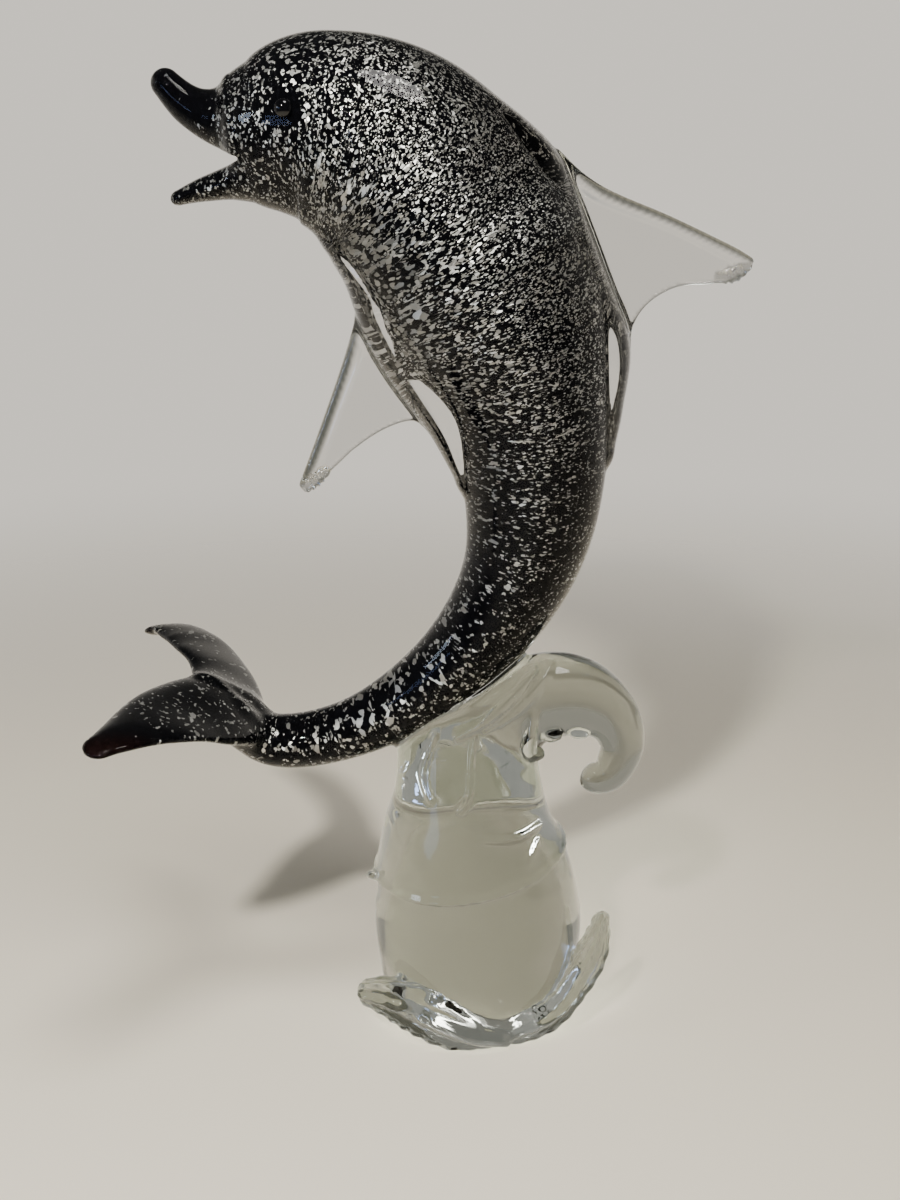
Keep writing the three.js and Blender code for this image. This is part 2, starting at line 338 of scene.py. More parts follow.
def skins(distance, pieces, low, high, cell):
    """Meshes of the pieces that touch one another. pieces() numbers the points from 1, with 0 for air, and
    says how far they are from any skin. Each mesh is its corners, its faces, whether each face is a joint,
    and its normals."""
    low, high = np.array(low, float), np.array(high, float)
    shape = np.ceil((high - low) / (cell * BLOCK)).astype(int)
    blocks = np.indices(shape).reshape(3, -1).T
    number, clear = pieces(low + cell * (blocks * BLOCK + (BLOCK - 1) / 2))
    numbers = number.reshape(shape).astype(np.int8)
    for axis in range(3):
        numbers = np.repeat(numbers, BLOCK, axis)
    spots = np.indices((BLOCK, BLOCK, BLOCK)).reshape(3, -1).T
    fine = (blocks[clear < cell * BLOCK * BLOCK_REACH][:, None] * BLOCK + spots).reshape(-1, 3)
    numbers[tuple(fine.T)] = pieces(low + cell * fine)[0]

    # A face stands between each two neighbouring cells of unlike number
    quads, owners = [], []
    for axis in range(3):
        u, v = np.eye(3, dtype=int)[[(axis + 1) % 3, (axis + 2) % 3]]
        ahead = np.roll(numbers, -1, axis)
        spot = np.argwhere(numbers != ahead)
        spot = spot[(spot > 0).all(1) & (spot < np.array(numbers.shape) - 2).all(1)]
        around = np.stack([spot - u - v, spot - v, spot, spot - u], axis=1)
        quads.append(np.ravel_multi_index(tuple(np.moveaxis(around, 2, 0)), numbers.shape))
        owners.append(np.stack([numbers[tuple(spot.T)], ahead[tuple(spot.T)]], axis=1))
    quads, owners = np.concatenate(quads), np.concatenate(owners)
    used, faces = np.unique(quads, return_inverse=True)
    faces = faces.reshape(-1, 4)
    corners = low + cell * (np.stack(np.unravel_index(used, numbers.shape), axis=1) + 0.5)

    joint = (owners > 0).all(1)
    outside = np.zeros(len(corners), bool)
    outside[faces[~joint]] = True
    for _ in range(EVENING_ROUNDS):
        corners = evened(corners, faces)
    for _ in range(SETTING_ROUNDS):
        here, slope = slope_of(distance, corners[outside])
        squared = np.maximum((slope ** 2).sum(1), LEAST_SLOPE_SQUARED)
        corners[outside] -= here[:, None] * slope / squared[:, None]
    normals = np.zeros_like(corners)
    normals[outside] = slope_of(distance, corners[outside])[1]
    normals[~outside] = (0, 0, 1)
    normals /= np.maximum(np.linalg.norm(normals, axis=1), TINY)[:, None]

    meshes = {}
    for piece in range(1, owners.max() + 1):
        front, back = owners[:, 0] == piece, owners[:, 1] == piece
        own = np.concatenate([faces[front], faces[back][:, ::-1]])
        kept, own_faces = np.unique(own, return_inverse=True)
        flags = np.concatenate([joint[front], joint[back]])
        meshes[piece] = (corners[kept], own_faces.reshape(-1, 4), flags, normals[kept])
    return meshes


def lone_skin(distance, low, high, cell):
    """The mesh of one piece by itself."""

    def inside(points):
        gap = distance(points)
        return (gap < 0).astype(int), np.abs(gap)

    return skins(distance, inside, low, high, cell)[1]


def piece_from(name, skin, materials):
    """A Blender object from one of skins()' meshes. Joint faces take the second material."""
    corners, faces, joint, normals = skin
    mesh = bpy.data.meshes.new(name)
    mesh.from_pydata((corners * MM).tolist(), [], faces.tolist())
    for material in materials:
        mesh.materials.append(material)
    mesh.polygons.foreach_set("material_index", joint.astype(np.int32))
    mesh.polygons.foreach_set("use_smooth", np.ones(len(faces), bool))
    mesh.normals_split_custom_set_from_vertices(normals.tolist())
    piece = bpy.data.objects.new(name, mesh)
    bpy.context.scene.collection.objects.link(piece)
    return piece


def keep_on_mesh(piece, name, values):
    """Keeps a number, or a row of three, for each corner of a piece, for its finish to read."""
    kind, key = ("FLOAT", "value") if values.ndim == 1 else ("FLOAT_VECTOR", "vector")
    kept = piece.data.attributes.new(name, kind, "POINT")
    kept.data.foreach_set(key, values.ravel().astype(np.float32))


class Finish:
    """The nodes of a material, or of the room, added one step at a time."""

    def __init__(self, owner):
        self.owner = owner
        owner.use_nodes = True
        self.tree = owner.node_tree
        self.tree.nodes.clear()

    def step(self, kind, inputs, **settings):
        node = self.tree.nodes.new("ShaderNode" + kind)
        for key, value in settings.items():
            setattr(node, key, value)
        for key, value in inputs.items():
            if isinstance(value, bpy.types.NodeSocket):
                self.tree.links.new(value, node.inputs[key])
            else:
                node.inputs[key].default_value = value
        return node.outputs

    def kept(self, name, output="Fac"):
        """What keep_on_mesh() kept under that name."""
        return self.step("Attribute", {}, attribute_name=name)[output]

    def math(self, operation, first, second):
        return self.step("Math", {0: first, 1: second}, operation=operation)["Value"]

    def vector(self, operation, *inputs):
        return self.step("VectorMath", dict(enumerate(inputs)), operation=operation)["Vector"]

    def blend(self, share, first, second):
        """Between two numbers."""
        return self.step("Mix", {0: share, 2: first, 3: second}, data_type="FLOAT")[0]

    def tint(self, share, first, second):
        """Between two colours."""
        return self.step("Mix", {0: share, 6: first, 7: second}, data_type="RGBA")[2]

    def threshold(self, value, start, end):
        inputs = {"Value": value, "From Min": start, "From Max": end}
        return self.step("MapRange", inputs, interpolation_type="SMOOTHSTEP")["Result"]

    def surface(self, shader, output="OutputMaterial"):
        self.step(output, {"Surface": shader})
        return self.owner


BLACK_GLASS = (0.004, 0.004, 0.005, 1)
THIN_BLACK_GLASS = (0.009, 0.0045, 0.004, 1)
DULL_LEAF = (0.18, 0.177, 0.17, 1)
BRIGHT_LEAF = (0.62, 0.61, 0.585, 1)
LEAF_ROUGHNESS = 0.45
FLAKE_LEAN = (0.5, 0.5, 0.5)
# Slow bands around the gather, where the leaf comes in larger flakes and more of it is left
BAND_SHAPE = (0.42, 0.07, 0.07)
BAND_IN_FLAKES = 0.15
BAND_IN_COVER = 0.5
# A kind of flake is how finely the leaf broke, and how much of it opened. The larger kinds have the leaf_size
# that they start from as well.
FINE_FLAKES = (1.7, 0.66)
LARGER_FLAKES = ((1.05, 0.65, 0.35), (0.52, 0.60, 0.65))
BLOT_SCALE = 0.9
FLAKE_WANDER = (0.9, 0.9, 0.9)
CRACK_PULL = 0.9
# Half the width over which one kind turns into the next, and leaf into bare glass, and a flake's soft edge
KIND_EDGE = 0.02
COVER_EDGE = 0.03
FLAKE_EDGE = 0.04


def leaf_on_black_glass():
    finish = Finish(bpy.data.materials.new("silver_leaf_on_black_glass"))
    place = finish.kept("leaf_place", "Vector")
    banded = finish.vector("MULTIPLY", place, BAND_SHAPE)
    bands = finish.step("TexNoise", {"Vector": banded, "Scale": 1.0, "Detail": 2.0})["Fac"]
    bands = finish.math("SUBTRACT", bands, 0.5)

    def flakes(scale, least):
        """Where the leaf holds together, from 0 to 1, and three chance numbers for each flake."""
        spot = finish.vector("MULTIPLY", place, (scale, scale, scale))
        ragged = {"Vector": spot, "Scale": BLOT_SCALE, "Detail": 2.0, "Roughness": 0.6}
        wander = finish.step("TexNoise", ragged)["Color"]
        cracks = {"Vector": finish.vector("MULTIPLY_ADD", wander, FLAKE_WANDER, spot), "Scale": 1.0}
        edge = finish.step("TexVoronoi", cracks, feature="DISTANCE_TO_EDGE")["Distance"]
        chance = finish.step("TexVoronoi", cracks, feature="F1")["Color"]
        blots = finish.step("TexNoise", {"Vector": spot, "Scale": BLOT_SCALE, "Detail": 1.0})["Fac"]
        held = finish.math("ADD", blots, finish.math("MULTIPLY", edge, CRACK_PULL))
        held = finish.math("ADD", held, finish.math("MULTIPLY", bands, BAND_IN_FLAKES))
        return finish.threshold(held, least, least + FLAKE_EDGE), chance

    whole, chance = flakes(*FINE_FLAKES)
    uneven_size = finish.math("ADD", finish.kept("leaf_size"), bands)
    for scale, least, smallest in LARGER_FLAKES:
        larger, larger_chance = flakes(scale, least)
        is_larger = finish.threshold(uneven_size, smallest - KIND_EDGE, smallest + KIND_EDGE)
        whole = finish.blend(is_larger, whole, larger)
        chance = finish.tint(is_larger, chance, larger_chance)
    parts = finish.step("SeparateColor", {"Color": chance})
    patchy = finish.math("ADD", finish.kept("leaf_cover"), finish.math("MULTIPLY", bands, BAND_IN_COVER))
    left = finish.threshold(finish.math("SUBTRACT", patchy, parts["Red"]), -COVER_EDGE, COVER_EDGE)
    leaf = finish.math("MULTIPLY", whole, left)
    glass = finish.tint(finish.kept("thin_glass"), BLACK_GLASS, THIN_BLACK_GLASS)
    shade = finish.tint(parts["Green"], DULL_LEAF, BRIGHT_LEAF)
    either_way = finish.vector("ADD", chance, (-0.5, -0.5, -0.5))
    level = finish.step("NewGeometry", {})["Normal"]
    leaning = finish.vector("MULTIPLY_ADD", either_way, FLAKE_LEAN, level)
    shader = finish.step("BsdfPrincipled", {
        "Base Color": finish.tint(leaf, glass, shade),
        "Metallic": leaf,
        "Roughness": LEAF_ROUGHNESS,
        "Specular IOR Level": 0.0,
        "Normal": finish.vector("NORMALIZE", leaning),
    })["BSDF"]
    return finish.surface(shader)


CORE_LOW = (-124, -68, 84)
CORE_HIGH = (52, 68, 328)
core_skin = lone_skin(silvered_core, CORE_LOW, CORE_HIGH, CELL)
core = piece_from("silvered_core", core_skin, [leaf_on_black_glass()])

# Leaf is laid out as on the straight gather, before it was bent: along, across and beside the trunk's middle.
# Each pair is a length along the trunk, and a flake's size there, or how much of the leaf is left.
FLAKE_ALONG = ((0, 1.1), (50, 1.1), (90, 1.0), (170, 1.0), (210, 1.2), (260, 1.3), (340, 1.4))
FLAKE_AROUND = ((0, 1.3), (50, 1.5), (90, 2.1), (170, 2.0), (210, 1.6), (260, 1.5), (340, 1.4))
LEAF_COVER = (
    (0, 0.5),
    (10, 0.54),
    (24, 0.65),
    (45, 0.84),
    (65, 1.05),
    (125, 0.88),
    (150, 0.56),
    (175, 0.34),
    (225, 0.38),
    (260, 0.5),
    (292, 0.4),
    (312, 0.26),
)
RULER = np.arange(-40.0, 380.0)
# The top of the beak is bare, down to a line that slants from the brow to its tip
BEAK_ROOT = 2
BEAK_BARE_FROM = -10
BEAK_SLANT = 0.4
BEAK_FADE = (-6, 4)
# Leaf stays clear of the eyes and of the near fluke's tip. It is sparse on the far fluke, and on the far side
# of the back under the start of the dorsal fin's trail.
EYE_CENTRE = (-55, 22.5, 298)
EYE_CLEARING = (3, 7)
NEAR_TIP_FADE = (36, 52)
FAR_SIDE = (8, 24)
FAR_SIDE_LOSS = 0.7
FLUKES_START = (288, 302)
TRAIL_STARTS = (40, 55)
TRAIL_ENDS = (105, 125)
TRAIL_SIDE = (0.1, 0.5)
# Flakes are finest along the back, and broadest on the throat and belly and on the inside of the tail's bend
SIZE_ON_BACK = ((0, 0.45), (25, 0.42), (50, 0.22), (190, 0.25), (230, 0.45), (300, 0.55))
SIZE_ON_BELLY = (
    (0, 0.45),
    (30, 0.5),
    (60, 0.78),
    (90, 0.75),
    (120, 0.62),
    (150, 0.5),
    (210, 0.6),
    (250, 0.75),
    (300, 0.6),
)
BELLY_STARTS = (-0.35, 0.75)
# Black glass is drawn thin at the flukes' tips and the beak's, and a little light comes through
THIN_FLUKE = (50, 62)
THIN_BEAK = (18, 27)

corners = core_skin[0]
to_side = corners[:, 1]
length, half, across, beside, beyond = trunk.locate(corners)
along = length + beyond
flake_count = np.interp(along, RULER, np.cumsum(1 / at_length(RULER, FLAKE_ALONG)))
around = at_length(along, FLAKE_AROUND)
leaf_place = np.stack([flake_count, across / around, beside / around], axis=1)
leaf_cover = at_length(along, LEAF_COVER)
below_slant = BEAK_SLANT * (along - BEAK_BARE_FROM) - across
leaf_cover *= np.where(along < BEAK_ROOT, smooth_step(below_slant, *BEAK_FADE), 1)
from_eye = np.linalg.norm(np.abs(corners) - np.abs(EYE_CENTRE), axis=1)
leaf_cover *= smooth_step(from_eye, *EYE_CLEARING)
leaf_cover *= 1 - smooth_step(-to_side, *NEAR_TIP_FADE)
on_flukes = smooth_step(along, *FLUKES_START)
under_trail = smooth_step(along, *TRAIL_STARTS) * (1 - smooth_step(along, *TRAIL_ENDS))
under_trail *= smooth_step(across / half[:, 0], *TRAIL_SIDE)
sparse = smooth_step(to_side, *FAR_SIDE) * np.maximum(on_flukes, under_trail)
leaf_cover *= 1 - FAR_SIDE_LOSS * sparse
to_belly = smooth_step(-across / half[:, 0], *BELLY_STARTS)
leaf_size = at_length(along, SIZE_ON_BACK) * (1 - to_belly) + at_length(along, SIZE_ON_BELLY) * to_belly
thin_glass = np.maximum(smooth_step(np.abs(to_side), *THIN_FLUKE), smooth_step(-along, *THIN_BEAK))
keep_on_mesh(core, "leaf_place", leaf_place)
keep_on_mesh(core, "leaf_cover", leaf_cover)
keep_on_mesh(core, "leaf_size", leaf_size)
keep_on_mesh(core, "thin_glass", thin_glass)
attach(core, "root")
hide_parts("dolphin_body")

# Fins
# Each fin is one trail of clear glass, laid hot along the back or belly and drawn out into a thin web.
# Its leading edge stays thick, and the tip is pinched with pincers that leave ridged marks.

DORSAL_TRAIL = [
    (-3, 0, 303, 1.4, 6),
    (12, 0, 291.5, 4.2, 13),
    (21.2, 0, 277.8, 6.4, 13),
    (32.4, 0, 255.5, 3, 11),
    (40.6, 0, 231, 6, 14),
    (41, 0, 210, 4.6, 11),
    (40.5, 0, 191, 1.6, 5),
]
DORSAL_LEADING = [
    (22, 0, 283, 2.4, 3.4),
    (36.4, 0, 273.8, 1.8, 2),
    (58.3, 0, 264.8, 1.3, 1.5),
    (81.2, 0, 253.9, 1.4, 1.7),
]
DORSAL_TIP = [
    (82.5, 0, 253, 1.9, 2.4),
    (78, 0, 249.6, 2.3, 1.9),
    (72, 0, 248.6, 1.6, 2),
]
# A web's edges are points of x and z, from the body to the tip and back to the body
DORSAL_AHEAD = [(24, 285.5), (37, 274.8), (58, 266.2), (76, 258), (84, 254)]
DORSAL_BEHIND = [(83, 251), (74, 247), (61, 245.8), (51.5, 240), (46.8, 231), (45.8, 222)]
DORSAL_ROOT = [(34, 216), (12, 268)]
BELLY_TRAIL = [
    (-46, 0, 262, 1.6, 7),
    (-37, 0, 252, 4.8, 15),
    (-26, 0, 239, 11, 18),
    (-16, 0, 223.5, 12, 18),
    (-9, 0, 207.5, 8.5, 16),
    (-5.6, 0, 194, 4.4, 12),
    (-2.5, 0, 182, 1.7, 6),
]
BELLY_LEADING = [
    (-33.6, 0, 237.2, 2.4, 3.2),
    (-39.2, 0, 222.3, 1.8, 2.1),
    (-45.8, 0, 205.3, 1.4, 1.7),
    (-53.3, 0, 185, 1.6, 1.9),
]
BELLY_TIP = [
    (-54.6, 0, 183.6, 1.6, 2.2),
    (-51, 0, 185.6, 2.3, 2.5),
    (-46, 0, 189.6, 1.5, 2),
]
BELLY_AHEAD = [(-36, 236), (-40, 222), (-46, 205), (-51.5, 191), (-55, 184.5)]
BELLY_BEHIND = [(-52.5, 182.3), (-43, 191), (-37, 196.5), (-28, 202.3), (-19, 204.8), (-12, 201)]
BELLY_ROOT = [(-4, 205), (-24, 240)]
TRAIL_CAPS = (5.6, 5.6)
LEADING_CAPS = (1, 5)
DORSAL_TIP_CAPS = (2.3, 2.3)
BELLY_TIP_CAPS = (1.6, 1.6)
PINCER_MARKS = (1.7, 0.15)
WEB_THICKNESS = 2.2
WEB_ROUNDING = 1.6
WEB_FILLET = 2.5
TIP_FILLET = 0.8
EDGE_STEPS = 6
WEB_POINTS_AT_ONCE = 20000
# How far in from a fin's edges its painted shade is full, and where it ends
LEADING_SHADE = (0.6, 1.6)
TRAILING_SHADE = (0.2, 1.1)
# How much shade is painted on a pinched tip, and how far past the tip's form it reaches
TIP_SHADE = 0.45
TIP_REACH = 0.5


def gap_to(flat, start, run):
    """How far flat points are from the nearest of the straight runs."""
    offset = flat[:, None] - start
    share = np.clip((offset * run).sum(2) / (run ** 2).sum(1), 0, 1)
    return np.sqrt(((offset - share[..., None] * run) ** 2).sum(2)).min(1)


def web(ahead, behind, root):
    """The thin web of a fin, in the middle plane, between its edges."""
    edges = (smooth_rows(ahead, EDGE_STEPS), smooth_rows(behind, EDGE_STEPS), np.array(root, float))
    start = np.concatenate(edges)
    end = np.roll(start, -1, axis=0)
    run = end - start

    def edge_distance(flat):
        offset = flat[:, None] - start
        spans = (start[:, 1] > flat[:, None, 1]) != (end[:, 1] > flat[:, None, 1])
        rise = np.where(np.abs(run[:, 1]) < TINY, TINY, run[:, 1])
        left_of = offset[..., 0] < offset[..., 1] * run[:, 0] / rise
        inside = (spans & left_of).sum(1) % 2 == 1
        return np.where(inside, -1, 1) * gap_to(flat, start, run)

    def field(points):
        value = np.full(len(points), FAR)
        flat = points[:, [0, 2]]
        inside = (flat > start.min(0) - MARGIN) & (flat < start.max(0) + MARGIN)
        near = np.flatnonzero(inside.all(1) & (np.abs(points[:, 1]) < MARGIN))
        for chunk in np.array_split(near, len(near) // WEB_POINTS_AT_ONCE + 1):
            faces = np.abs(points[chunk, 1]) - WEB_THICKNESS / 2
            value[chunk] = -melt(-edge_distance(flat[chunk]), -faces, WEB_ROUNDING)
        return value

    return field


def whole_fin(trail, leading, thin_web, tip):
    """A fin run together from its forms."""

    def field(points):
        whole = melt(trail.field(points), leading.field(points), WEB_FILLET)
        whole = melt(whole, thin_web(points), WEB_FILLET)
        return melt(whole, tip.field(points), TIP_FILLET)

    return field


dorsal_tip = Drawn(DORSAL_TIP, caps=DORSAL_TIP_CAPS, pinches=PINCER_MARKS)
dorsal_fin = whole_fin(
    Drawn(DORSAL_TRAIL, caps=TRAIL_CAPS),
    Drawn(DORSAL_LEADING, caps=LEADING_CAPS),
    web(DORSAL_AHEAD, DORSAL_BEHIND, DORSAL_ROOT),
    dorsal_tip,
)
belly_tip = Drawn(BELLY_TIP, caps=BELLY_TIP_CAPS, pinches=PINCER_MARKS)
belly_fin = whole_fin(
    Drawn(BELLY_TRAIL, caps=TRAIL_CAPS),
    Drawn(BELLY_LEADING, caps=LEADING_CAPS),
    web(BELLY_AHEAD, BELLY_BEHIND, BELLY_ROOT),
    belly_tip,
)


def painted_edge_shade(points, ahead, behind, tip):
    """How much shade is painted on a fin at its thick edges and its pinched tip, from 0 to 1."""
    flat = points[:, [0, 2]]
    shade = TIP_SHADE * (tip.field(points) < TIP_REACH)
    for edge, reach in ((ahead, LEADING_SHADE), (behind, TRAILING_SHADE)):
        line = smooth_rows(edge, EDGE_STEPS)
        gap = gap_to(flat, line[:-1], np.diff(line, axis=0))
        shade = np.maximum(shade, 1 - smooth_step(gap, *reach))
    return shade


# Wave base
# The base is one clear gather: a barrel column with the lap of its last gather around it, drawn up into
# a crest that curls over, and two leaves of splash pinched out at the foot. It is fused to the tail while
# both are hot.

COLUMN = [
    (0, 0, -6, 19.5, 24),
    (0.5, 0, 8, 25, 30),
    (1.3, 0, 28, 29.5, 34.3),
    (0.8, 0, 46, 29.5, 33.8),
    (-2, 0, 66, 26, 29),
    (-2, 0, 84, 19.5, 24),
    (-2.5, 0, 101, 12.5, 22.3),
    (-3.6, 0, 115, 8, 21),
]
COLUMN_WIDTH = ((1, 0, 0), (0.8, 0, 0.6))
COLUMN_TURNS_FROM = 0.55
CREST = [
    (4, 0, 104, 14, 11),
    (20, 0, 113.6, 14.6, 12),
    (33, 0, 114.3, 13.3, 11.5),
    (44, 0, 108, 9.6, 9.5),
    (48.2, 0, 98.5, 7.4, 7.8),
    (45.6, 0, 89.2, 6.2, 6.4),
    (40.4, 0, 86, 5.2, 5.6),
    (36, 0, 88.6, 4, 4.6),
]
LEFT_SPLASH = [
    (10, -21.5, 3, 3.4, 4),
    (-6, -24.5, 8, 4.6, 7.4),
    (-20, -23.5, 15.5, 4.8, 8.4),
    (-30.5, -20.5, 17.6, 4.2, 5.8),
    (-38.3, -17, 16.8, 3, 3.2),
]
RIGHT_SPLASH = [
    (8, -22, 3, 3.4, 4),
    (23.5, -20.5, 10, 4.2, 5.4),
    (33, -16, 19.5, 4.2, 5.8),
    (39.2, -13, 30, 3.4, 5.6),
    (42.8, -10.5, 43, 1.8, 2.4),
]
UPRIGHT = ((0, 0, 1), (0, 0, 1))
SPLASH_CAPS = (6.5, 4)
SPLASH_RIDGES = (6, 0.14)
SPLASH_PINCHES = (5.6, 0.035)
CREST_FILLET = 5
SPLASH_FILLET = 2
FOOT_ROUNDING = 1.5
# The lap's edge runs around the column on a slope in x and y. It stands proud with a round lip, and dies
# away above.
LAP_HEIGHT = 59.5
LAP_SLOPE = (0.173, 0.156)
LAP_STEP = 1.3
LAP_EDGE = (-0.7, 0.7)
LAP_DIES_OVER = 9
LAP_LIP = 0.7
LIP_ABOVE_EDGE = 1
LIP_WIDTH = 1.4
WAVINESS = 0.3
# Small trails left on the base by the tools: creases in front, folds on the splash, a drawn lug, wraps
# around the joint, a nub, and beads under the crest
TOOL_MARKS = {
    "crease_left": [(-12.5, -9.6, 106, 0.8, 1.3), (-16.7, -12.2, 93, 1, 1.5), (-14.4, -16.8, 84, 0.7, 1.2)],
    "crease_middle": [
        (0.3, -10, 109, 0.8, 1.3),
        (-1, -13.4, 98, 1, 1.5),
        (-1.6, -17.8, 88, 1, 1.5),
        (-4.8, -20, 82, 0.7, 1.2),
    ],
    "crease_across": [(2, -22.8, 74, 0.7, 1.2), (12, -19.8, 73, 1, 1.5), (22, -11.4, 75, 0.8, 1.3)],
    "crease_right": [(20.5, -14.4, 70.5, 0.8, 1.3), (16, -21.2, 63.5, 1, 1.5), (10.5, -26, 56, 0.7, 1.2)],
    "fold_below": [
        (12, -24, 3, 2.2, 3),
        (0, -28, 7, 3, 4),
        (-10, -28, 11, 2.8, 3.6),
        (-17, -26, 13.5, 1.6, 2),
    ],
    "fold_above": [
        (-37, -18, 19, 1.4, 1.6),
        (-23.4, -23, 20.5, 2, 2.2),
        (-9.3, -27, 16.5, 2, 2.2),
        (2, -27.5, 9, 1.3, 1.5),
    ],
    "lug": [
        (19, -9.5, 114, 1.4, 2.2),
        (18, -12, 106, 2, 2.8),
        (17.5, -12.6, 99.5, 2.8, 3.4),
        (22, -10, 99, 1.8, 2.2),
    ],
    "wrap_left": [
        (-6, -10.5, 104, 1, 1.6),
        (4, -12.5, 111, 1.6, 2.4),
        (13, -11.5, 119, 1.8, 2.6),
        (19.5, -7, 127, 1.3, 2),
    ],
    "wrap_right": [
        (2, -12.5, 106, 1, 1.6),
        (12, -13, 113, 1.5, 2.2),
        (20, -10, 121, 1.6, 2.2),
        (24.5, -4, 127.5, 1.2, 1.8),
    ],
    "nub": [(-33.4, -9, 55, 1.1, 1.2), (-34.2, -6, 54, 1.5, 1.4), (-34, -3, 53, 1.1, 1.2)],
    "bead_left": [(21.5, -8, 105.5, 2.4, 2.6), (24.5, -8.6, 105.2, 3.4, 3.2), (28, -8, 105.6, 2.4, 2.6)],
    "bead_right": [(30.5, -7.6, 105, 1.8, 2.2), (33, -7.6, 105, 2.4, 2.4), (36.5, -6.5, 104, 1.8, 2)],
}
MARK_CAPS = (1.5, 1.5)
MARK_FILLET = 1.6

column = Drawn(COLUMN, COLUMN_WIDTH, caps=(1, 1.5), turns_from=COLUMN_TURNS_FROM)
crest = Drawn(CREST, caps=(6.5, 2.9))
splashes = [
    Drawn(rows, UPRIGHT, caps=SPLASH_CAPS, ridges=SPLASH_RIDGES, pinches=SPLASH_PINCHES)
    for rows in (LEFT_SPLASH, RIGHT_SPLASH)
]
tool_marks = [Drawn(rows, caps=MARK_CAPS) for rows in TOOL_MARKS.values()]


def uneven(x, y, z):
    """The slow waves that hand tools leave on thick glass, of lengths that don't repeat together."""
    slow = np.sin(x / 6.1 + 0.4 * np.sin(z / 9)) * np.sin(z / 7.3 + 0.8) * np.cos(y / 6.7)
    quick = np.sin(x / 3.7 + z / 5.1 + 1) * np.sin(y / 4.3 - z / 6)
    return WAVINESS * (slow + quick / 2)


def lap(x, y, z):
    """How far the lap of the last gather stands proud of the column."""
    over = z - LAP_HEIGHT - LAP_SLOPE[0] * x - LAP_SLOPE[1] * y
    step = LAP_STEP * smooth_step(over, *LAP_EDGE) * np.exp(-np.maximum(over, 0) / LAP_DIES_OVER)
    return step + LAP_LIP * np.exp(-((over - LIP_ABOVE_EDGE) / LIP_WIDTH) ** 2)


def wave_base(points):
    x, y, z = points.T
    whole = column.field(points) - lap(x, y, z) - uneven(x, y, z)
    whole = melt(whole, crest.field(points), CREST_FILLET)
    for splash in splashes:
        whole = melt(whole, splash.field(points), SPLASH_FILLET)
    for mark in tool_marks:
        whole = melt(whole, mark.field(points), MARK_FILLET)
    return cut(whole, z, FOOT_ROUNDING)


# Clear glass
# The casing over the silvered core, the fins and the base are all clear glass, and are one where they touch.
# The pieces meet face to face, and their joint faces can't be seen, as in glass that has run together.

CASING_TINT = (0.975, 0.985, 0.98, 1)
FIN_TINT = (0.84, 0.835, 0.82, 1)
# The base's glass is green, and its colour is darkened far past that by painted shade
BASE_TINT_AND_SHADE = (0.32, 0.332, 0.306, 1)
# Painted shade: the dark colour laid on the edges of the casing and of the fins
PAINTED_RIM_SHADE = (0.18, 0.19, 0.18, 1)
# How far the casing turns from the eye, from 0 to 1, where the painted shade on its edge starts and is
# darkest
CASING_EDGE = (0.6, 1.0)
CASING_GLOSS = (0.25, 0.25, 0.25, 1)
FIN_GLOSS = (1, 1, 1, 1)
BASE_GLOSS = (0.5, 0.5, 0.5, 1)
# Light that has turned more often than this in the glass is let straight out
MOST_TURNS = 3.5
SHADOW_TINT = (0.86, 0.88, 0.86, 1)
GLASS_IOR = 1.5
FIN_FILLET = 3.0
BASE_FILLET = 4.0


def clear_glass(name, tint, gloss, edge=None):
    """Glass with shade painted on its edges, by a number kept on its mesh or by how far it turns from the
    eye, or with none.
    """
    finish = Finish(bpy.data.materials.new(name))
    # Shade is painted on the edges here, by darkening the glass's colour
    if edge == "by mesh":
        tint = finish.tint(finish.kept("painted_edge_shade"), tint, PAINTED_RIM_SHADE)
    elif edge:
        shade = finish.threshold(finish.step("LayerWeight", {"Blend": 0.5})["Facing"], *edge)
        tint = finish.tint(shade, tint, PAINTED_RIM_SHADE)
    glass = finish.step("BsdfPrincipled", {
        "Base Color": tint,
        "Specular Tint": gloss,
        "Roughness": 0.0,
        "IOR": GLASS_IOR,
        "Transmission Weight": 1.0,
    })["BSDF"]
    see_through = finish.step("BsdfTransparent", {"Color": SHADOW_TINT})["BSDF"]
    light = finish.step("LightPath", {})
    let_out = finish.math("GREATER_THAN", light["Ray Depth"], MOST_TURNS)
    straight = finish.math("MAXIMUM", light["Is Shadow Ray"], let_out)
    return finish.surface(finish.step("MixShader", {0: straight, 1: glass, 2: see_through})["Shader"])


def fused_joint():
    finish = Finish(bpy.data.materials.new("fused_joint"))
    return finish.surface(finish.step("BsdfTransparent", {"Color": (1, 1, 1, 1)})["BSDF"])


def run_together(body, others):
    for other, fillet in zip(others, (FIN_FILLET, FIN_FILLET, BASE_FILLET)):
        body = melt(body, other, fillet)
    return body


def fused_glass(points):
    others = [form(points) for form in (dorsal_fin, belly_fin, wave_base)]
    return run_together(dolphin_body(points), others)


def clear_pieces(points):
    body = dolphin_body(points)
    others = np.stack([form(points) for form in (dorsal_fin, belly_fin, wave_base)])
    whole = run_together(body, others)
    number = np.where(body < 0, 1, 2 + others.argmin(0))
    return np.where(whole < 0, number, 0), np.minimum(np.abs(whole), np.abs(body))


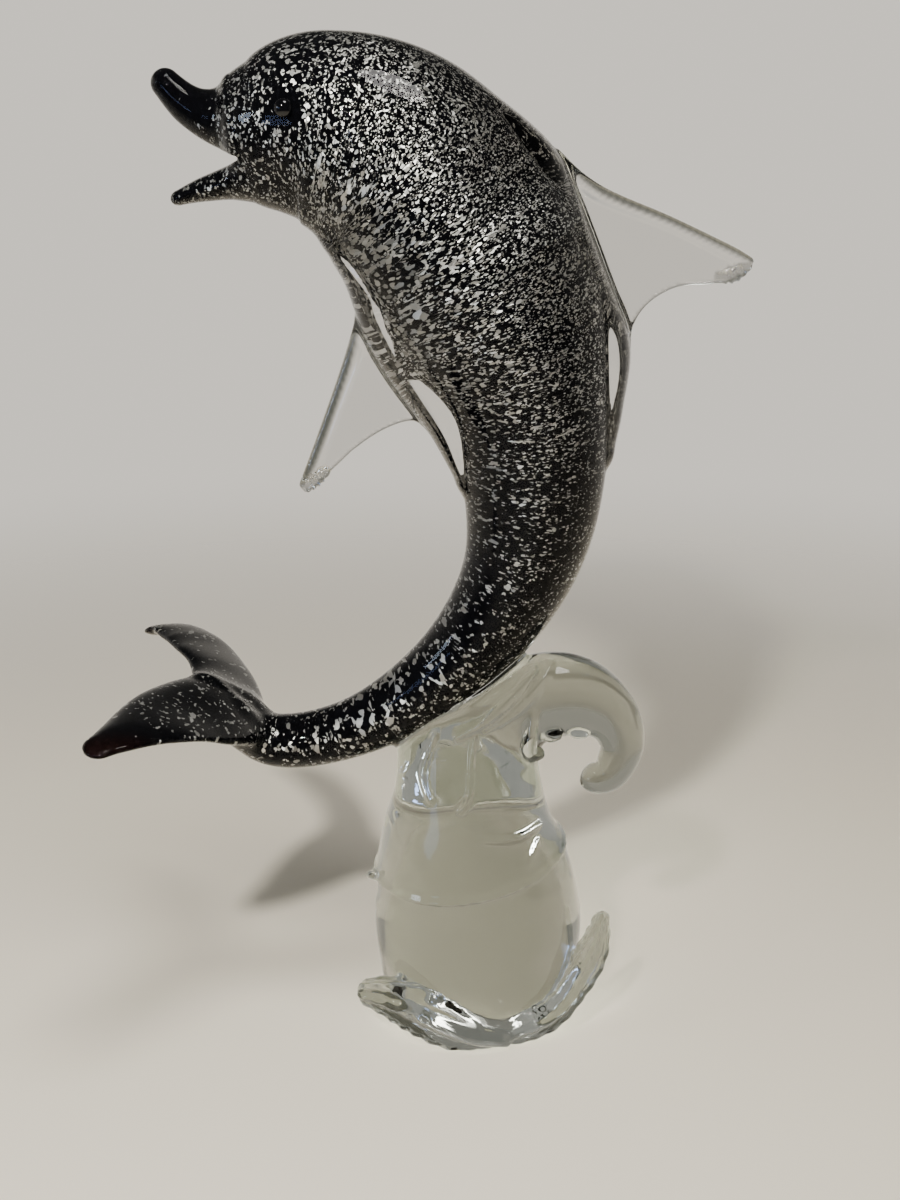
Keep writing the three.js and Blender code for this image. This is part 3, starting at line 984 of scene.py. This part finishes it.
GLASS_LOW = (-124, -68, -6)
GLASS_HIGH = (92, 68, 328)
glass_skins = skins(fused_glass, clear_pieces, GLASS_LOW, GLASS_HIGH, CELL)
casing_glass = clear_glass("casing_glass", CASING_TINT, CASING_GLOSS, CASING_EDGE)
fin_glass = clear_glass("fin_glass", FIN_TINT, FIN_GLOSS, "by mesh")
base_glass = clear_glass("base_glass", BASE_TINT_AND_SHADE, BASE_GLOSS)
joint_finish = fused_joint()
for number, (name, node, glass, edges) in enumerate((
    ("clear_casing", "dolphin_body", casing_glass, None),
    ("dorsal_fin_glass", "dorsal_fin", fin_glass, (DORSAL_AHEAD, DORSAL_BEHIND, dorsal_tip)),
    ("belly_fin_glass", "belly_fin", fin_glass, (BELLY_AHEAD, BELLY_BEHIND, belly_tip)),
    ("wave_base_glass", "wave_base", base_glass, None),
), start=1):
    piece = piece_from(name, glass_skins[number], [glass, joint_finish])
    # The fins get painted shade along their edges and at their tips
    if edges:
        keep_on_mesh(piece, "painted_edge_shade", painted_edge_shade(glass_skins[number][0], *edges))
    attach(piece, "root")
    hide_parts(node)

# Eyes
# Two small beads of black glass, pressed hot on the sides of the head.
# They are polished by the flame, and sit a little proud of the casing.

EYE_SIZE = (2.8, 2.3, 2.8)
EYE_ROUNDING = 0.3
EYE_ROOM = 2
EYE_CELL = 0.35
BEAD_ROUGHNESS = 0.06


def bead_glass():
    finish = Finish(bpy.data.materials.new("black_bead_glass"))
    bead = {"Base Color": BLACK_GLASS, "Roughness": BEAD_ROUGHNESS, "IOR": GLASS_IOR}
    return finish.surface(finish.step("BsdfPrincipled", bead)["BSDF"])


def bead_at(middle):
    """A bead pressed on the head, with the head's form taken out of it."""

    def field(points):
        scaled = (points - middle) / EYE_SIZE
        out = np.linalg.norm(scaled, axis=1)
        slope = np.linalg.norm(scaled / EYE_SIZE, axis=1)
        return cut(out * (out - 1) / np.maximum(slope, TINY), dolphin_body(points), EYE_ROUNDING)

    return field


bead_finish = bead_glass()
bead_reach = np.array(EYE_SIZE) + EYE_ROOM
for name, node, side in (("left_eye_bead", "left_eye", -1), ("right_eye_bead", "right_eye", 1)):
    middle = np.array(EYE_CENTRE) * (1, side, 1)
    bead_skin = lone_skin(bead_at(middle), middle - bead_reach, middle + bead_reach, EYE_CELL)
    eye = piece_from(name, bead_skin, [bead_finish])
    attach(eye, "root")
    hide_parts(node)

# Stage
# A pale round floor that fades into the pale room, a warm key light ahead on the left, a soft light overhead,
# two cool lights from the left, and the camera at the photograph's place.

FLOOR_RADIUS = 0.95
FLOOR_SIDES = 96
FLOOR_BELOW = 0.0002
FLOOR_FADES = (0.22, 0.931)
FLOOR_COLOUR = (0.86, 0.8, 0.68, 1)
ROOM_COLOUR = (0.7, 0.665, 0.605, 1)
# The room is darker ahead and overhead, and less so for light that comes through the glass
AHEAD_COLOUR = (0.09, 0.09, 0.09, 1)
AHEAD_THROUGH_GLASS = (0.5, 0.49, 0.47, 1)
AHEAD_FADES = (0.05, 0.45)
CEILING_COLOUR = (0.08, 0.08, 0.075, 1)
CEILING_THROUGH_GLASS = (0.52, 0.51, 0.49, 1)
CEILING_FADES = (0.2, 0.55)
FEW_TURNS = 2.5


def floor_finish():
    finish = Finish(bpy.data.materials.new("pale_floor"))
    place = finish.step("NewGeometry", {})["Position"]
    radius = finish.step("VectorMath", {0: place}, operation="LENGTH")["Value"]
    matt = finish.step("BsdfDiffuse", {"Color": FLOOR_COLOUR})["BSDF"]
    clear = finish.step("BsdfTransparent", {})["BSDF"]
    fades = finish.threshold(radius, *FLOOR_FADES)
    return finish.surface(finish.step("MixShader", {0: fades, 1: matt, 2: clear})["Shader"])


turns = [2 * math.pi * k / FLOOR_SIDES for k in range(FLOOR_SIDES)]
rim = [(FLOOR_RADIUS * math.cos(turn), FLOOR_RADIUS * math.sin(turn), -FLOOR_BELOW) for turn in turns]
floor_mesh = bpy.data.meshes.new("floor")
floor_mesh.from_pydata(rim, [], [list(range(FLOOR_SIDES))])
floor_mesh.materials.append(floor_finish())
floor = bpy.data.objects.new("floor", floor_mesh)
bpy.context.scene.collection.objects.link(floor)


def pale_room():
    """Pale behind and below, and dark ahead and overhead, so that the black glass stays black."""
    room = Finish(bpy.data.worlds.new("pale_room"))
    toward = room.step("SeparateXYZ", {0: room.step("TexCoord", {})["Generated"]})
    ahead = room.threshold(room.math("MULTIPLY", toward["Y"], -1.0), *AHEAD_FADES)
    overhead = room.threshold(toward["Z"], *CEILING_FADES)
    path = room.step("LightPath", {})
    turned_often = room.math("GREATER_THAN", path["Ray Depth"], FEW_TURNS)
    through_glass = room.math("MAXIMUM", path["Is Transmission Ray"], turned_often)
    ahead_colour = room.tint(through_glass, AHEAD_COLOUR, AHEAD_THROUGH_GLASS)
    ceiling_colour = room.tint(through_glass, CEILING_COLOUR, CEILING_THROUGH_GLASS)
    colour = room.tint(ahead, ROOM_COLOUR, ahead_colour)
    colour = room.tint(overhead, colour, ceiling_colour)
    colour = room.tint(path["Is Camera Ray"], colour, ROOM_COLOUR)
    return room.surface(room.step("Background", {"Color": colour})["Background"], "OutputWorld")


bpy.context.scene.world = pale_room()

LIT_PLACE = (0, 0, 0.17)
# Each light's place, the size of its disk, its power and its colour
LIGHTS = {
    "key_light": ((-0.24, -0.75, 0.7), 0.06, 8.5, (1.0, 0.97, 0.92)),
    "cool_side_light": ((-1.2, -0.5, 0.5), 0.25, 2.0, (0.72, 0.83, 1.0)),
    "top_light": ((0.15, -0.35, 1.2), 0.4, 5.0, (1.0, 0.98, 0.95)),
    "blue_window_light": ((-0.85, -0.85, 0.35), 0.25, 0.55, (0.4, 0.55, 1.0)),
}
for name, (place, size, power, colour) in LIGHTS.items():
    light = bpy.data.lights.new(name, "AREA")
    light.shape = "DISK"
    light.size = size
    light.energy = power
    light.color = colour
    lamp = bpy.data.objects.new(name, light)
    lamp.location = place
    away = np.array(place) - LIT_PLACE
    tilt = math.atan2(math.hypot(away[0], away[1]), away[2])
    lamp.rotation_euler = (tilt, 0, math.atan2(away[0], -away[1]))
    bpy.context.scene.collection.objects.link(lamp)
bpy.context.scene.view_settings.look = "AgX - Medium High Contrast"

CAMERA_PLACE = (-0.008, -0.522, 0.298)
CAMERA_TILT = math.radians(16.14)
CAMERA_LENS = 51
SENSOR_HEIGHT = 36
camera_data = bpy.data.cameras.new("photo_camera")
camera_data.sensor_fit = "VERTICAL"
camera_data.sensor_height = SENSOR_HEIGHT
camera_data.lens = CAMERA_LENS
camera = bpy.data.objects.new("photo_camera", camera_data)
camera.location = CAMERA_PLACE
camera.rotation_euler = (math.pi / 2 - CAMERA_TILT, 0, 0)
bpy.context.scene.collection.objects.link(camera)
bpy.context.scene.camera = camera
